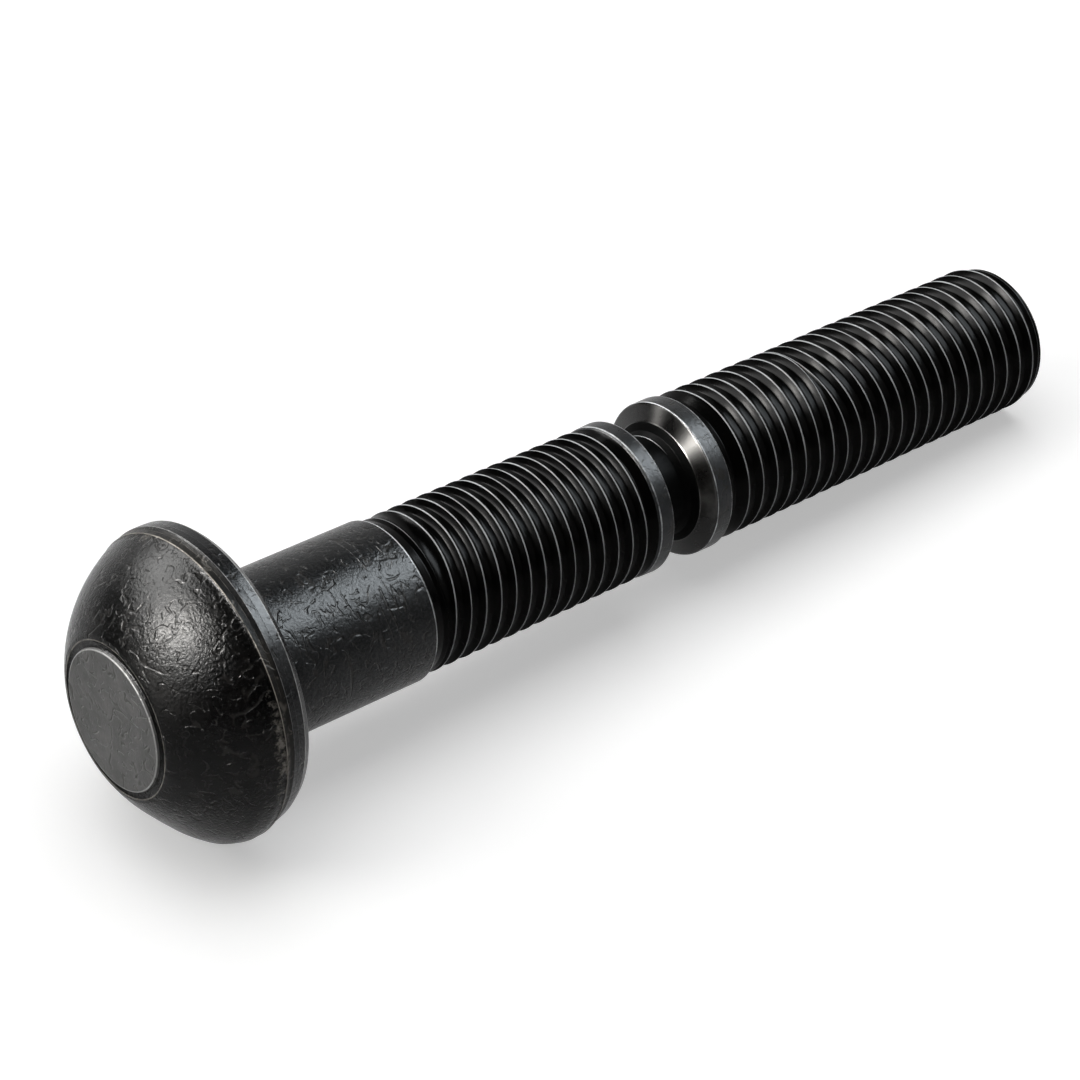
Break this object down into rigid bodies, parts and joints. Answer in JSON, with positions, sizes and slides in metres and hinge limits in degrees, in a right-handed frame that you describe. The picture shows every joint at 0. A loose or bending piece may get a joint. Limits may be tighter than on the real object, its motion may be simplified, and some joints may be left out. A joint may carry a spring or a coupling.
{
  "type": "round head lockbolt",
  "caption": "Round head lockbolt pin: domed head, plain shank, ringed lock grooves, a break neck and a ringed pintail that a tool pulls on.",
  "frame": {"origin": "middle of the flat crown of the head, which the pin stands on", "axes": "+Z along the pin's axis, from the head to the pintail; X and Y are free, as the pin is a body of revolution"},
  "size_m": [0.0296, 0.0296, 0.1109],
  "materials": {
    "blackened_steel": "black phosphate, lightly oiled, worn to grey on the crests and edges"
  },
  "bodies": {
    "root": {"pin": "blackened_steel"}
  },
  "joints": []
}
